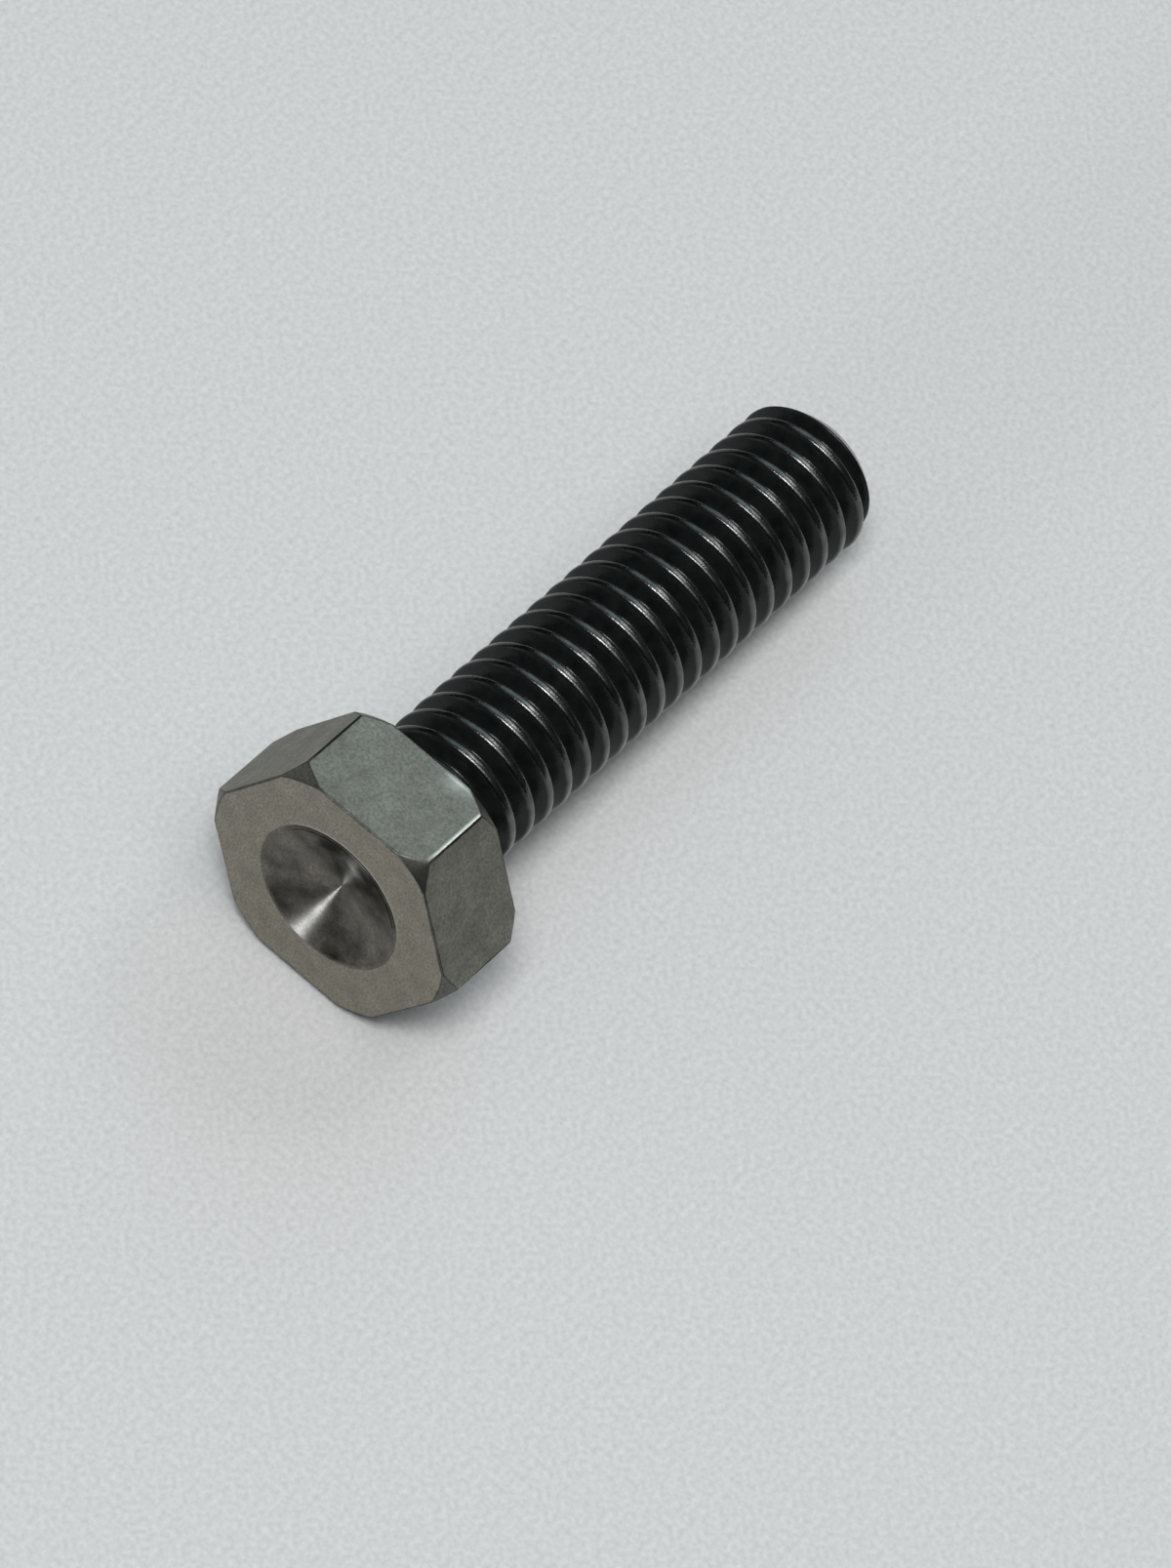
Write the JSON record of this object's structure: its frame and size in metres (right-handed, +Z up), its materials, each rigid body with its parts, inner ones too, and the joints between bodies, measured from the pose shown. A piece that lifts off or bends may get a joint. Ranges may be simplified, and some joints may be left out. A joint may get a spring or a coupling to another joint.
{
  "type": "beadlock bolt",
  "caption": "Hexagon-head machine bolt, threaded along its whole shank, with a shallow conical recess in the head; clamps a wheel's beadlock ring.",
  "frame": {"origin": "centre of the bounding box's footprint, on the ground the bolt lies on (Z = 0)", "axes": "+X along the bolt from head to tip, dipping 4.5 degrees below level as the bolt lies at rest; +Y level across the bolt; +Z up"},
  "size_m": [0.0378, 0.0146, 0.0131],
  "materials": {
    "bolt": "fine satin machined head; shank black oxide, slightly oily"
  },
  "bodies": {
    "root": {"bolt": "bolt"}
  },
  "joints": []
}
